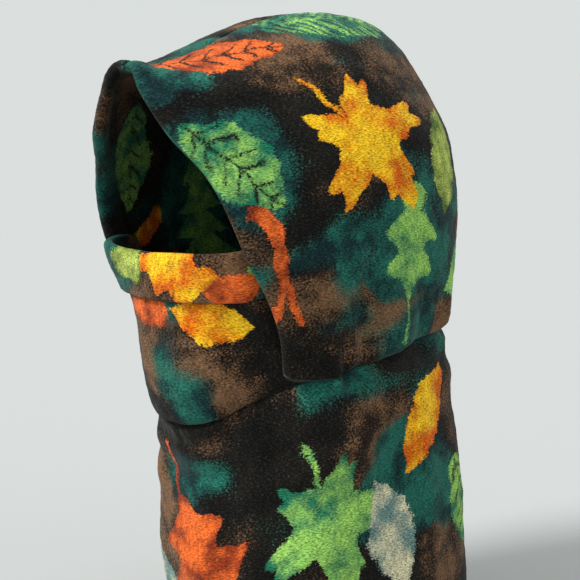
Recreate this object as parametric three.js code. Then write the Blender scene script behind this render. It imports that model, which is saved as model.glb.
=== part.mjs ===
// A pull-on winter hood of thick printed fleece: two hood panels joined along the crown, a
// cover for mouth and chin with a turned-down band, and a neck tube below the neck seam.
// Millimetres, +Z up, the face looks along -Y and the wearer's left side is +X.
// The origin is where the top of the head meets the inside of the crown.
import * as THREE from "three";

// Driving sizes
const CLOTH = 3; // thickness of one layer of fleece
const GAP = 0.3; // clearance between two pieces that are sewn together
const SEAM_GAP = 0.35; // the same at the neck seam, where the rolled edges are less even
const HEM_WIDTH = 20; // turned-in edge round the face
const HEM_INSIDE = 2; // how much thicker the turned edge is, on the inside
const UNDER_HEM = 24; // how far the mouth cover reaches in under the hood's edge
const BAND_OUT = 3.2; // the face band's extra layer, on the outside
const BAND_TOP = 149; // drop of the face band's upper edge
const BAND_FOOT = 181;
const BAND_SAG = 4; // how much lower both edges are at the lips than at the ears
const HOOD_EDGE = -236; // the hood's lower edge is nowhere lower than this
const HOOD_CORNER = { y: -74, rise: 8, length: 24 }; // and it rises towards the face edge
const HOOD_ROLL = { height: 14, depth: 6.5 }; // the hood rolls in above the neck seam
const CHIN_ROLL = { height: 27, depth: 16 }; // and so does the mouth cover, under the chin
const CHEEK_ROLL_DEPTH = 4; // its depth beside the hood
const TUBE_FOOT = -428; // height of the neck tube's lower edge
const TUBE_HEM = 22; // turned-in edge at the tube's foot
const TUBE_HEM_INSIDE = 2;

// Grid sizes
const HOOD_COLUMNS = 22;
const CROWN_ROWS = 8;
const SIDE_ROWS = 9;
const FACE_STEPS = 11; // columns from the lips to the hood's edge
const UNDER_STEPS = 3; // and from there on in under it
const FACE_ROWS = 5;
const TUBE_COLUMNS = 56;
const TUBE_ROWS = 6;
const HEM_STOPS = [0, 0.1, 0.55, 0.98]; // columns or rows across a turned edge
const HEM_ROUND = [0.5, 0.1, 0, 0]; // how much of its thickness the fold rounds off there
const ROLL_STOPS = [0.45, 0.8, 1]; // rows down the roll above the neck seam

// The crown seam over the head, front to back.
const CROWN_SEAM = [
  { y: -147, z: -31 },
  { y: -132, z: -32 },
  { y: -112, z: -30 },
  { y: -86, z: -21 },
  { y: -55, z: -8 },
  { y: -25, z: 0.5 },
  { y: 5, z: CLOTH },
  { y: 35, z: 0 },
  { y: 62, z: -13 },
];

// The hood's outline at each level below the crown: half its width, how far back it reaches,
// and where the face edge stands.
const HOOD_LEVELS = [
  { drop: 50, halfWidth: 79, back: 96, hemX: 18, hemY: -147 },
  { drop: 62, halfWidth: 85, back: 104, hemX: 28, hemY: -145 },
  { drop: 79, halfWidth: 92, back: 114, hemX: 42, hemY: -140 },
  { drop: 99, halfWidth: 96, back: 119, hemX: 59, hemY: -128 },
  { drop: 117, halfWidth: 98, back: 121, hemX: 69, hemY: -121 },
  { drop: 137, halfWidth: 98, back: 122, hemX: 75, hemY: -114 },
  { drop: 158, halfWidth: 97, back: 121, hemX: 77, hemY: -105 },
  { drop: 183, halfWidth: 95, back: 118, hemX: 76, hemY: -89 },
  { drop: 207, halfWidth: 92, back: 113, hemX: 73, hemY: -77 },
  { drop: 230, halfWidth: 90, back: 110, hemX: 70, hemY: -72 },
  { drop: 262, halfWidth: 88, back: 108, hemX: 66, hemY: -70 },
];

// The neck seam's height, from under the chin to the nape.
const NECK_SEAM = [
  { y: -118, z: -273 },
  { y: -110, z: -271.8 },
  { y: -103, z: -269.3 },
  { y: -96, z: -266 },
  { y: -88, z: -261 },
  { y: -74, z: -251 },
  { y: -62, z: -244 },
  { y: -46, z: -237.5 },
  { y: -30, z: -235 },
  { y: 0, z: -228 },
  { y: 50, z: -219 },
  { y: 108, z: -214 },
];

// The mouth cover's curve at each level: how far it runs straight on from the hood's edge
// before it bends, how broad it is at the lips, and how far forward it stands there.
const FACE_LEVELS = [
  { drop: 145, straight: 24, lipX: 33, front: 127 },
  { drop: 181, straight: 26, lipX: 35, front: 125 },
  { drop: 210, straight: 28, lipX: 36, front: 121.5 },
  { drop: 240, straight: 30, lipX: 34, front: 119 },
  { drop: 262, straight: 30, lipX: 31, front: 118 },
  { drop: 286, straight: 30, lipX: 28, front: 117 },
];

// The neck tube's outline, from the neck seam (0) to its lower edge (1).
const TUBE_LEVELS = [
  { share: 0, halfWidth: 80, front: 97, back: 100 },
  { share: 0.05, halfWidth: 83, front: 97, back: 107 },
  { share: 0.12, halfWidth: 86, front: 96, back: 114 },
  { share: 0.35, halfWidth: 89, front: 97, back: 125 },
  { share: 0.65, halfWidth: 90, front: 96, back: 135 },
  { share: 0.85, halfWidth: 91, front: 89, back: 140 },
  { share: 1, halfWidth: 91, front: 83, back: 142 },
];

// Folds and dents of the hood: the side they are on, where they are (degrees round from the
// wearer's left side, positive towards the back, and drop), their half length and half width,
// how far they lean over their length, and how deep they are (negative is a valley).
const HOOD_FOLDS = [
  { side: 1, turn: -22, drop: 236, length: 24, width: 7, lean: 2, depth: 3.5 },
  { side: 1, turn: -10, drop: 230, length: 34, width: 9, lean: 6, depth: -3 },
  { side: 1, turn: 12, drop: 212, length: 44, width: 12, lean: 12, depth: 3 },
  { side: 1, turn: 34, drop: 200, length: 46, width: 13, lean: 10, depth: -3 },
  { side: 1, turn: -40, drop: 150, length: 46, width: 24, lean: 26, depth: -2.5 },
  { side: -1, turn: -14, drop: 228, length: 34, width: 10, lean: 4, depth: 3 },
  { side: -1, turn: 6, drop: 218, length: 40, width: 12, lean: -6, depth: -3 },
  { side: -1, turn: 40, drop: 205, length: 44, width: 12, lean: -8, depth: 3 },
  { side: 1, turn: 72, drop: 196, length: 46, width: 13, lean: 8, depth: -3 },
  { side: -1, turn: 66, drop: 192, length: 42, width: 13, lean: -6, depth: -3 },
];

// Upright folds of the neck tube.
const TUBE_FOLDS = [
  { turn: -116, depth: 3.5, width: 9 },
  { turn: -66, depth: -4, width: 10 },
  { turn: -30, depth: 4, width: 11 },
  { turn: 4, depth: -4, width: 12 },
  { turn: 44, depth: 4, width: 12 },
  { turn: 128, depth: 4, width: 12 },
  { turn: 168, depth: -4, width: 12 },
  { turn: 208, depth: 4, width: 11 },
];

const { degToRad, radToDeg, lerp, clamp, euclideanModulo } = THREE.MathUtils;
const point = (x, y, z) => new THREE.Vector3(x, y, z);
const last = (list) => list[list.length - 1];

// A smooth curve through one column of a table, as a function of its key column.
function track(rows, key, column) {
  const slopes = rows.map((row, i) => {
    const before = rows[Math.max(i - 1, 0)];
    const after = rows[Math.min(i + 1, rows.length - 1)];
    return (after[column] - before[column]) / (after[key] - before[key]);
  });
  return (at) => {
    let i = 0;
    while (i < rows.length - 2 && at > rows[i + 1][key]) i += 1;
    const span = rows[i + 1][key] - rows[i][key];
    const t = clamp((at - rows[i][key]) / span, 0, 1);
    const rise = t * t * (3 - 2 * t);
    const leave = t * (1 - t) * (1 - t);
    const arrive = t * t * (t - 1);
    const straight = lerp(rows[i][column], rows[i + 1][column], rise);
    return straight + span * (leave * slopes[i] + arrive * slopes[i + 1]);
  };
}

function tracks(rows, key) {
  const columns = Object.keys(rows[0]).filter((name) => name !== key);
  return Object.fromEntries(columns.map((name) => [name, track(rows, key, name)]));
}

const crownHeight = track(CROWN_SEAM, "y", "z");
const hoodAt = tracks(HOOD_LEVELS, "drop");
const seamHeight = track(NECK_SEAM, "y", "z");
const faceAt = tracks(FACE_LEVELS, "drop");
const tubeAt = tracks(TUBE_LEVELS, "share");

const bell = (distance, width) => Math.exp(-((distance / width) ** 2));

// The hood's lower edge follows the neck seam, but turns up towards its front corner.
function hoodEdge(y) {
  const near = clamp(1 - (y - HOOD_CORNER.y) / HOOD_CORNER.length, 0, 1);
  return Math.max(HOOD_EDGE + HOOD_CORNER.rise * near * near, seamHeight(y));
}

// The depth of the hood's front ellipse, whose arc ends at the face edge.
function frontDepth(drop) {
  const hemAngle = Math.acos(hoodAt.hemX(drop) / hoodAt.halfWidth(drop));
  return -hoodAt.hemY(drop) / Math.sin(hemAngle);
}

// A point of the hood's side, at a share of the way from the face edge (0) to the back (1).
function sidePoint(share, drop) {
  const halfWidth = hoodAt.halfWidth(drop);
  const angle = lerp(-Math.acos(hoodAt.hemX(drop) / halfWidth), Math.PI / 2, share);
  const depth = angle < 0 ? frontDepth(drop) : hoodAt.back(drop);
  return point(halfWidth * Math.cos(angle), depth * Math.sin(angle), -drop);
}

// A point between the crown seam (0) and the top of the side (1), on a cubic curve that
// leaves the seam level and runs into the side without a crease.
function crownPoint(share, down) {
  const top = HOOD_LEVELS[0];
  const foot = sidePoint(share, top.drop);
  const run = (foot.y - top.hemY) / (top.back - top.hemY);
  const seamY = lerp(CROWN_SEAM[0].y, last(CROWN_SEAM).y, run);
  const seam = point(0, seamY, crownHeight(seamY));
  const out = point(foot.x * 0.63, lerp(seamY, foot.y, 0.4), seam.z);
  const slope = sidePoint(share, top.drop + 1).sub(foot);
  const above = foot.clone().addScaledVector(slope, -0.45 * (seam.z - foot.z));
  return new THREE.CubicBezierCurve3(seam, out, above, foot).getPoint(down);
}

// A point of the hood before its folds, on one of the rows from the crown seam downwards.
function hoodPoint(share, row) {
  if (row <= CROWN_ROWS) return crownPoint(share, row / CROWN_ROWS);
  const rollStart = -hoodEdge(sidePoint(share, 240).y) - HOOD_ROLL.height;
  const down = (row - CROWN_ROWS) / SIDE_ROWS;
  if (down <= 1) return sidePoint(share, lerp(HOOD_LEVELS[0].drop, rollStart, down));
  const stop = ROLL_STOPS[row - CROWN_ROWS - SIDE_ROWS - 1];
  return sidePoint(share, rollStart + HOOD_ROLL.height * stop);
}

// How far the hood's folds lift the cloth at a point.
function hoodFold(p, side) {
  const turn = radToDeg(Math.atan2(p.y, p.x));
  const here = HOOD_FOLDS.filter((fold) => fold.side === side);
  return here.reduce((sum, fold) => {
    const along = -p.z - fold.drop;
    const across = (turn - fold.turn) * 1.7 - (along * fold.lean) / fold.length;
    return sum + fold.depth * bell(across, fold.width) * bell(along, fold.length);
  }, 0);
}

// Normals of a grid of points, averaged from its faces.
function gridNormals(grid, closed = false) {
  const normals = grid.map((line) => line.map(() => point(0, 0, 0)));
  const columns = grid[0].length;
  const quads = closed ? columns : columns - 1;
  for (let r = 0; r + 1 < grid.length; r += 1) {
    for (let c = 0; c < quads; c += 1) {
      const next = (c + 1) % columns;
      const falling = grid[r + 1][next].clone().sub(grid[r][c]);
      const rising = grid[r + 1][c].clone().sub(grid[r][next]);
      const normal = rising.cross(falling);
      normals[r][c].add(normal);
      normals[r][next].add(normal);
      normals[r + 1][c].add(normal);
      normals[r + 1][next].add(normal);
    }
  }
  return normals.map((line) => line.map((normal) => normal.normalize()));
}

const shifted = (grid, normals, by) =>
  grid.map((line, r) => line.map((p, c) => p.clone().addScaledVector(normals[r][c], by(p, r, c))));

// A closed solid between an outer and an inner grid of the same size.
function layerSolid(outer, inner, closed = false) {
  const rows = outer.length;
  const columns = outer[0].length;
  const faces = [];
  const at = (layer, r, c) => (layer * rows + r) * columns + (c % columns);
  const quad = (a, b, c, d) => faces.push(a, b, c, a, c, d);
  const quads = closed ? columns : columns - 1;
  for (let c = 0; c < quads; c += 1) {
    for (let r = 0; r + 1 < rows; r += 1) {
      quad(at(0, r, c), at(0, r + 1, c), at(0, r + 1, c + 1), at(0, r, c + 1));
      quad(at(1, r, c), at(1, r, c + 1), at(1, r + 1, c + 1), at(1, r + 1, c));
    }
    quad(at(0, 0, c), at(0, 0, c + 1), at(1, 0, c + 1), at(1, 0, c));
    quad(at(0, rows - 1, c), at(1, rows - 1, c), at(1, rows - 1, c + 1), at(0, rows - 1, c + 1));
  }
  for (let r = 0; !closed && r + 1 < rows; r += 1) {
    quad(at(0, r, 0), at(1, r, 0), at(1, r + 1, 0), at(0, r + 1, 0));
    const c = columns - 1;
    quad(at(0, r, c), at(0, r + 1, c), at(1, r + 1, c), at(1, r, c));
  }
  const positions = [...outer.flat(), ...inner.flat()].flatMap((p) => [p.x, p.y, p.z]);
  const geometry = new THREE.BufferGeometry();
  geometry.setAttribute("position", new THREE.Float32BufferAttribute(positions, 3));
  geometry.setIndex(faces);
  return geometry;
}

// Points along a line at given distances from its start.
function stepsAlong(line, distances) {
  const curve = new THREE.CatmullRomCurve3(line, false, "centripetal");
  const whole = curve.getLength();
  return distances(whole).map((distance) => curve.getPointAt(Math.min(distance / whole, 1)));
}

// Distances of the hood's columns from the face edge: the hem's own, then even ones.
function hoodColumns(whole) {
  const across = HEM_STOPS.map((stop) => stop * HEM_WIDTH);
  const rest = Array.from({ length: HOOD_COLUMNS + 1 }, (_, i) =>
    lerp(HEM_WIDTH + 0.6, whole, i / HOOD_COLUMNS),
  );
  return [...across, ...rest];
}

// Points moved off an edge that rises and falls with y, put back at their old height above it.
function keptOnEdge(moved, grid, edge, nearness) {
  return moved.map((line, r) =>
    line.map((p, c) => {
      const rise = edge(p.y) - edge(grid[r][c].y);
      return point(p.x, p.y, p.z + rise * nearness(r, c));
    }),
  );
}

// How near each row of a grid is to its lowest one, from 0 at a roll's upper edge to 1.
function nearFoot(grid, height) {
  return (r, c) => clamp(1 - (grid[r][c].z - last(grid)[c].z) / height, 0, 1);
}

// Half the hood, from the crown seam down and from the face edge back.
function hoodPanel(side) {
  const rows = Array.from({ length: CROWN_ROWS + SIDE_ROWS + ROLL_STOPS.length + 1 }, (_, r) => r);
  const smooth = rows.map((row) => {
    const line = Array.from({ length: 61 }, (_, i) => hoodPoint(i / 60, row));
    return stepsAlong(line, hoodColumns);
  });
  const level = onSeam(gridNormals(smooth), smooth);
  const behind = (c) => clamp((c - HEM_STOPS.length) / 4, 0, 1);
  const near = nearFoot(smooth, HOOD_ROLL.height);
  const put = (by) => keptOnEdge(shifted(smooth, level, by), smooth, hoodEdge, near);
  const folded = (p, r, c) =>
    hoodFold(p, side) - behind(c) * HOOD_ROLL.depth * near(r, c) ** 2;
  const rounded = (c) => CLOTH * (HEM_ROUND[c] ?? 0);
  const thick = (c) => CLOTH + (c < HEM_STOPS.length ? HEM_INSIDE : 0);
  const outer = put((p, r, c) => folded(p, r, c) - rounded(c));
  const inner = put((p, r, c) => folded(p, r, c) + rounded(c) - thick(c));
  return layerSolid(offSeam(outer), offSeam(inner));
}

// On the centre line the two halves share one normal.
function onSeam(normals, grid) {
  return normals.map((line, r) =>
    line.map((normal, c) => (grid[r][c].x < 0.01 ? normal.setX(0).normalize() : normal)),
  );
}

const offSeam = (grid) =>
  grid.map((line) => line.map((p) => point(Math.max(p.x, GAP / 2), p.y, p.z)));

// Where the mouth cover lies inside the hood's edge, at a distance back from that edge, and
// which way it is heading there.
function underHem(back, drop) {
  const halfWidth = hoodAt.halfWidth(drop);
  const front = frontDepth(drop);
  const hemAngle = -Math.acos(hoodAt.hemX(drop) / halfWidth);
  const angle = hemAngle + back / front;
  const outside = point(halfWidth * Math.cos(angle), front * Math.sin(angle), -drop);
  const ahead = point(halfWidth * Math.sin(angle), -front * Math.cos(angle), 0).normalize();
  const inward = point(ahead.y, -ahead.x, 0);
  const valleys = [1, -1].map((side) => hoodFold(outside, side));
  const inside = CLOTH + HEM_INSIDE + 3 * GAP - Math.min(0, ...valleys);
  return { place: outside.addScaledVector(inward, inside), ahead };
}

// The mouth cover and its band share one curved surface. Across runs from 0 at the lips to 1
// at the hood's edge, and on to 2 where it ends inside; negative is the right-hand side.
function facePoint(across, drop) {
  const share = Math.abs(across);
  const { place, ahead } = underHem(Math.max(share - 1, 0) * UNDER_HEM, drop);
  if (share < 1) {
    const cheek = place.clone().addScaledVector(ahead, faceAt.straight(drop));
    const lip = point(faceAt.lipX(drop), -faceAt.front(drop), -drop);
    const middle = point(0, -faceAt.front(drop), -drop);
    place.copy(new THREE.CubicBezierCurve3(middle, lip, cheek, place).getPoint(share));
  }
  place.x *= across < 0 ? -1 : 1;
  return place;
}

const faceStops = [];
for (let c = -UNDER_STEPS; c < 0; c += 1) faceStops.push(-1 + c / UNDER_STEPS);
for (let c = -FACE_STEPS; c <= FACE_STEPS; c += 1) faceStops.push(c / FACE_STEPS);
for (let c = 1; c <= UNDER_STEPS; c += 1) faceStops.push(1 + c / UNDER_STEPS);

const bandEdge = (drop, across) => drop + BAND_SAG * clamp(1 - across * across, 0, 1);

function faceGrid(rows, dropAt) {
  return Array.from({ length: rows + 1 }, (_, r) =>
    faceStops.map((across) => facePoint(across, dropAt(across, r))),
  );
}

function facePanel() {
  const rows = FACE_ROWS + ROLL_STOPS.length;
  const grid = faceGrid(rows, (across, r) => {
    const rollStart = -seamHeight(facePoint(across, 270).y) - CHIN_ROLL.height;
    if (r <= FACE_ROWS) return lerp(bandEdge(BAND_FOOT, across) + GAP, rollStart, r / FACE_ROWS);
    return rollStart + CHIN_ROLL.height * ROLL_STOPS[r - FACE_ROWS - 1];
  });
  const level = gridNormals(grid);
  const depth = (c) => lerp(CHIN_ROLL.depth, CHEEK_ROLL_DEPTH, Math.min(Math.abs(faceStops[c]), 1));
  const near = nearFoot(grid, CHIN_ROLL.height);
  const put = (by) => keptOnEdge(shifted(grid, level, by), grid, seamHeight, near);
  const roll = (r, c) => depth(c) * near(r, c) ** 2;
  const outer = put((p, r, c) => -roll(r, c));
  return layerSolid(outer, put((p, r, c) => -roll(r, c) - CLOTH));
}

function faceBand() {
  const grid = faceGrid(HEM_STOPS.length - 1, (across, r) =>
    lerp(bandEdge(BAND_TOP, across), bandEdge(BAND_FOOT, across), r === 3 ? 1 : HEM_STOPS[r]),
  );
  const normals = gridNormals(grid);
  const thick = CLOTH + BAND_OUT;
  // The outer layer runs out before the ends, where the band goes in under the hood.
  const lifted = (c) => BAND_OUT * clamp(6 * (1 - Math.abs(faceStops[c])), 0, 1);
  const outer = shifted(grid, normals, (p, r, c) => lifted(c) - thick * HEM_ROUND[r] * 0.8);
  const inner = shifted(grid, normals, (p, r) => thick * HEM_ROUND[r] * 0.5 - CLOTH);
  return layerSolid(outer, inner);
}

// A point of the neck tube: degrees round from the wearer's left, and the share of its height.
function tubePoint(turn, share) {
  const angle = degToRad(turn);
  const depth = Math.sin(angle) < 0 ? tubeAt.front(share) : tubeAt.back(share);
  const y = depth * Math.sin(angle);
  const z = lerp(seamHeight(y) - SEAM_GAP, TUBE_FOOT, share);
  return point(tubeAt.halfWidth(share) * Math.cos(angle), y, z);
}

function tubeFold(turn, share) {
  const strength = Math.min(1, share * 6) * (1 - 0.35 * share);
  return TUBE_FOLDS.reduce((sum, fold) => {
    const apart = euclideanModulo(turn - fold.turn + 180, 360) - 180;
    return sum + strength * fold.depth * bell(apart, fold.width);
  }, 0);
}

function neckTube() {
  const turns = Array.from({ length: TUBE_COLUMNS }, (_, c) => (360 * c) / TUBE_COLUMNS - 90);
  const height = seamHeight(0) - TUBE_FOOT;
  const shares = [0, 0.04];
  for (let r = 0; r <= TUBE_ROWS; r += 1)
    shares.push(lerp(0.1, 1 - (TUBE_HEM + 0.6) / height, r / TUBE_ROWS));
  const hemStart = shares.length;
  for (const stop of [...HEM_STOPS].reverse()) shares.push(1 - (stop * TUBE_HEM) / height);
  const smooth = shares.map((share) => turns.map((turn) => tubePoint(turn, share)));
  const level = gridNormals(smooth, true);
  const near = (r) => clamp(1 - shares[r] / 0.1, 0, 1);
  const put = (by) => keptOnEdge(shifted(smooth, level, by), smooth, seamHeight, near);
  const rounded = (r) => CLOTH * (HEM_ROUND[shares.length - 1 - r] ?? 0);
  const thick = (r) => CLOTH + (r < hemStart ? 0 : TUBE_HEM_INSIDE);
  const outer = put((p, r, c) => tubeFold(turns[c], shares[r]) - rounded(r));
  const inner = put((p, r, c) => tubeFold(turns[c], shares[r]) + rounded(r) - thick(r));
  return layerSolid(outer, inner, true);
}

// The other half of a solid's shape: mirrored, with its faces turned round again.
function otherSide(geometry) {
  const copy = geometry.clone().scale(-1, 1, 1);
  const faces = copy.index.array;
  for (let i = 0; i < faces.length; i += 3) [faces[i], faces[i + 1]] = [faces[i + 1], faces[i]];
  return copy;
}

const hood = new THREE.Group();

function add(name, geometry, color) {
  const material = new THREE.MeshStandardMaterial({ color, roughness: 0.95, metalness: 0 });
  const mesh = new THREE.Mesh(geometry, material);
  mesh.name = name;
  hood.add(mesh);
}

add("hood_left_panel", hoodPanel(1), 0x2c5a4e);
add("hood_right_panel", otherSide(hoodPanel(-1)), 0x2c5a4e);
add("face_panel", facePanel(), 0x3a2a18);
add("face_band", faceBand(), 0xc8821e);
add("neck_tube", neckTube(), 0x1d3a3a);

export default hood;
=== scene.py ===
"""A pull-on winter hood of printed plush fleece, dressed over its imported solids."""

import math

import bpy
import numpy as np
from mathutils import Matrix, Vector


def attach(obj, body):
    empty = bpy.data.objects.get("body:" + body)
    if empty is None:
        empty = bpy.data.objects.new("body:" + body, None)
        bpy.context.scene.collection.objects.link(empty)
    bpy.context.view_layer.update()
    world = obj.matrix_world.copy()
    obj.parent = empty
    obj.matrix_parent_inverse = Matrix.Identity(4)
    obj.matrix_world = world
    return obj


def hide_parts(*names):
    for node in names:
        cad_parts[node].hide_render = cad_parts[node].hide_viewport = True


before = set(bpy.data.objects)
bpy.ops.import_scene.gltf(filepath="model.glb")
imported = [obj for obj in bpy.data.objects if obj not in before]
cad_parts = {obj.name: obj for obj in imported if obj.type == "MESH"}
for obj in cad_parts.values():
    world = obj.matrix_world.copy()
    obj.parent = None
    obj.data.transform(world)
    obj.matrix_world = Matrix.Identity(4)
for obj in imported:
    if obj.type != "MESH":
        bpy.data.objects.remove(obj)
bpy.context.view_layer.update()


# Left hood panel. One cut of thick plush fleece from the face edge to the centre back. Its front
# edge is turned in and sewn down inside, its top and back edges are sewn to the other half, and
# its lower edge is sewn to the neck tube, with the cloth bulging over the seam.

# Sizes and places are millimetres until a mesh is made.
METRES = 0.001
CLOTH = 3.0
HEM_WIDTH = 20.0
HEM_THICK = 5.9  # two layers at the turned edge
HEM_PLUMP = 3.0  # how far the turned edge swells outwards
HEM_END = 1.6  # the width in which two layers become one
HEM_STITCH = 1.0  # how far inside the hem's end its stitches run
HEM_GROOVE = {"depth": 0.45, "width": 2.2}
FOLD_RUN = 6.5  # how far back from the fold the edge is rounded
FOLD_STEPS = 8
FOLD_START = 0.12  # radians, so that a wall has some thickness at its fold
HOOD_EDGE_LOWEST = -236.0
HOOD_CORNER = {"y": -74.0, "rise": 8.0, "length": 24.0}
NECK_ROLL = {"height": 15.0, "depth": 8.0, "begin": 26.0, "fade": 30.0}
ROLL_TURN = 0.98  # of the quarter round, which would otherwise end level
NECK_CALM = 8.0  # how far from the neck seam its puckers fade in
NECK_SLANT = 0.5  # how steeply the rims at the neck seam fall inwards
SEAM_GAP = 0.06
SEAM_SLANT = 0.8
SEAM_CALM = 3.0  # how far from a seam the pile fades in
SEAM_GROOVE = {"depth": 1.6, "width": 3.4}
CROWN_CURVE = {"leave": 0.4, "wide": 0.63, "arrive": 0.45}
EDGE_DROP = 240.0  # where the way back along the side is read for the lower edge
HOOD_ROWS = 209
CROWN_ROWS = 60
HOOD_COLUMNS = 233
HOOD_FINE = 301  # points of a row before it is evened out


def table(columns, *rows):
    """A table whose columns are named once, above its rows."""
    return [dict(zip(columns.split(), row)) for row in rows]


CROWN_SEAM = table(
    "y z",
    (-147, -31),
    (-132, -32),
    (-112, -30),
    (-86, -21),
    (-55, -8),
    (-25, 0.5),
    (5, 3),
    (35, 0),
    (62, -13),
)
HOOD_LEVELS = table(
    "drop half_width back hem_x hem_y",
    (50, 79, 96, 18, -147),
    (62, 85, 104, 28, -145),
    (79, 92, 114, 42, -140),
    (99, 96, 119, 59, -128),
    (117, 98, 121, 69, -121),
    (137, 98, 122, 75, -114),
    (158, 97, 121, 77, -105),
    (183, 95, 118, 76, -89),
    (207, 92, 113, 73, -77),
    (230, 90, 110, 70, -72),
    (262, 88, 108, 66, -70),
)
NECK_SEAM = table(
    "y z",
    (-118, -273),
    (-110, -271.8),
    (-103, -269.3),
    (-96, -266),
    (-88, -261),
    (-74, -251),
    (-62, -244),
    (-46, -237.5),
    (-30, -235),
    (0, -228),
    (50, -219),
    (108, -214),
)


def track(rows, key, column):
    """A smooth curve through one column of a table: cubic pieces whose slope at each row is
    the slope between its two neighbours."""
    at = np.array([row[key] for row in rows], float)
    value = np.array([row[column] for row in rows], float)
    before = np.r_[0, np.arange(len(rows) - 1)]
    after = np.r_[np.arange(1, len(rows)), len(rows) - 1]
    slope = (value[after] - value[before]) / (at[after] - at[before])

    def curve(x):
        x = np.asarray(x, float)
        i = np.clip(np.searchsorted(at, x, side="right") - 1, 0, len(at) - 2)
        span = at[i + 1] - at[i]
        t = np.clip((x - at[i]) / span, 0, 1)
        rise = t * t * (3 - 2 * t)
        leave = t * (1 - t) ** 2
        arrive = t * t * (t - 1)
        straight = value[i] + (value[i + 1] - value[i]) * rise
        return straight + span * (leave * slope[i] + arrive * slope[i + 1])

    return curve


def tracks(rows, key):
    """One such curve for each column of a table."""
    return {name: track(rows, key, name) for name in rows[0] if name != key}


crown_height = track(CROWN_SEAM, "y", "z")
hood_at = tracks(HOOD_LEVELS, "drop")
seam_height = track(NECK_SEAM, "y", "z")


def hood_edge(y):
    """The hood's lower edge: the neck seam, but nowhere lower than HOOD_EDGE_LOWEST, with a
    corner at the face edge that turns up by the square of its nearness."""
    near = np.clip(1 - (y - HOOD_CORNER["y"]) / HOOD_CORNER["length"], 0, 1)
    return np.maximum(HOOD_EDGE_LOWEST + HOOD_CORNER["rise"] * near**2, seam_height(y))


def hem_angle(drop):
    """Where the face edge stands on the hood's front ellipse, as an angle from the side."""
    return -np.arccos(hood_at["hem_x"](drop) / hood_at["half_width"](drop))


def front_depth(drop):
    """The depth of the front ellipse that passes through the face edge."""
    return hood_at["hem_y"](drop) / np.sin(hem_angle(drop))


def side_point(share, drop):
    """The hood's side: at each drop a front and a back half-ellipse of one width, run through
    from the face edge (share 0) to the centre back (share 1)."""
    angle = hem_angle(drop) * (1 - share) + math.pi / 2 * share
    depth = np.where(angle < 0, front_depth(drop), hood_at["back"](drop))
    half_width = hood_at["half_width"](drop)
    x, y = half_width * np.cos(angle), depth * np.sin(angle)
    return np.stack([x, y, -drop + 0 * x], axis=-1)


def cubic(t, start, leave, arrive, end):
    """A cubic that leaves start towards one point and comes to its end from another."""
    u = 1 - t
    return u**3 * start + 3 * t * u**2 * leave + 3 * t * t * u * arrive + t**3 * end


def crown_point(share, down):
    """The crown: from the seam (down 0) to the top of the side (down 1) on a cubic that leaves
    the seam level and enters the side along the side's own slope."""
    top = HOOD_LEVELS[0]
    foot = side_point(share, top["drop"] + 0 * share)
    run = (foot[..., 1] - top["hem_y"]) / (top["back"] - top["hem_y"])
    first, end = CROWN_SEAM[0]["y"], CROWN_SEAM[-1]["y"]
    seam_y = first + (end - first) * run
    seam_z = crown_height(seam_y)
    seam = np.stack([0 * seam_y, seam_y, seam_z], axis=-1)
    out_y = seam_y + (foot[..., 1] - seam_y) * CROWN_CURVE["leave"]
    out = np.stack([foot[..., 0] * CROWN_CURVE["wide"], out_y, seam_z], axis=-1)
    slope = side_point(share, top["drop"] + 1 + 0 * share) - foot
    above = foot - slope * CROWN_CURVE["arrive"] * (seam_z - foot[..., 2])[..., None]
    return cubic(down[..., None], seam, out, above, foot)


def distances(line):
    """How far along a polyline each of its points lies."""
    return np.r_[0, np.cumsum(np.linalg.norm(np.diff(line, axis=0), axis=1))]


def points_at(at, far, line):
    """A polyline's points at the given distances along it."""
    return np.stack([np.interp(at, far, line[:, axis]) for axis in range(3)], axis=-1)


fold_phase = np.linspace(FOLD_START, math.pi / 2, FOLD_STEPS + 1)


def fold_run(run):
    """How far from a fold the points round it lie, on a quarter ellipse of the given run."""
    return run * (1 - np.cos(fold_phase))


def round_fold(run, half):
    """How much longer the way is along the quarter ellipse, from each of its points to its
    end, than along the bare surface beneath."""
    x, y = fold_run(run), half * np.sin(fold_phase)
    steps = np.hypot(np.diff(x), np.diff(y))
    return np.r_[np.cumsum(steps[::-1])[::-1], 0] - (run - x)


def hood_columns(whole):
    """Distances from the face edge: a quarter round of the fold, then even ones."""
    even = np.linspace(FOLD_RUN, whole, HOOD_COLUMNS - FOLD_STEPS)
    return np.r_[fold_run(FOLD_RUN), even[1:]]


def hood_half():
    """The bare surface of half the hood: crown rows, then side rows, each evened out."""
    share = np.linspace(0, 1, HOOD_FINE)
    top = HOOD_LEVELS[0]["drop"]
    low = -hood_edge(side_point(share, EDGE_DROP + 0 * share)[:, 1])
    lines = [crown_point(share, row / CROWN_ROWS + 0 * share) for row in range(CROWN_ROWS)]
    for down in np.linspace(0, 1, HOOD_ROWS - CROWN_ROWS):
        lines.append(side_point(share, top + (low - top) * down))
    rows = []
    for line in lines:
        far = distances(line)
        rows.append(points_at(hood_columns(far[-1]), far, line))
    return np.stack(rows)


def grid_normals(grid):
    """Outward unit normals of a grid whose rows run down and columns to the wearer's left."""
    across, down = np.gradient(grid, axis=1), np.gradient(grid, axis=0)
    normal = np.cross(down, across)
    return normal / np.maximum(np.linalg.norm(normal, axis=-1, keepdims=True), 1e-9)


def bell(distance, width):
    """A smooth bump of height 1 that falls off over the given width."""
    return np.exp(-((distance / width) ** 2))


def ease(x):
    """A smooth step from 0 at 0 to 1 at 1."""
    x = np.clip(x, 0, 1)
    return x * x * (3 - 2 * x)


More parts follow.
